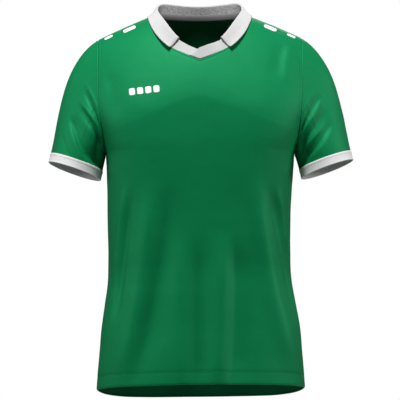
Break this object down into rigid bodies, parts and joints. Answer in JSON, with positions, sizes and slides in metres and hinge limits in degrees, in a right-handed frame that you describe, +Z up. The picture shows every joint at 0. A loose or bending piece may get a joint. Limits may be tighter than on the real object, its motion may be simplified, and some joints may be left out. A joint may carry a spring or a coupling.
{
  "type": "football jersey",
  "caption": "Short-sleeved football jersey in its worn hollow form, with a turned-down collar, a V-shaped neck band and contrast cuffs.",
  "frame": {"origin": "midway between the neck ends of the two shoulder seams and 7 mm below them, where the wearer's shoulders hold the jersey up", "axes": "+Z up the jersey, the chest faces -Y, the wearer's left arm is at +X"},
  "size_m": [0.6092, 0.2432, 0.7891],
  "materials": {
    "jersey_knit": "fine matt polyester knit, green",
    "white_trim": "doubled white knit",
    "neck_tape": "plain woven tape"
  },
  "bodies": {
    "root": {"front": "jersey_knit", "back": "jersey_knit", "sleeve_left": "jersey_knit", "sleeve_right": "jersey_knit", "cuff_left": "white_trim", "cuff_right": "white_trim", "neck_band": "white_trim", "collar": "white_trim", "neck_tape": "neck_tape"}
  },
  "joints": []
}
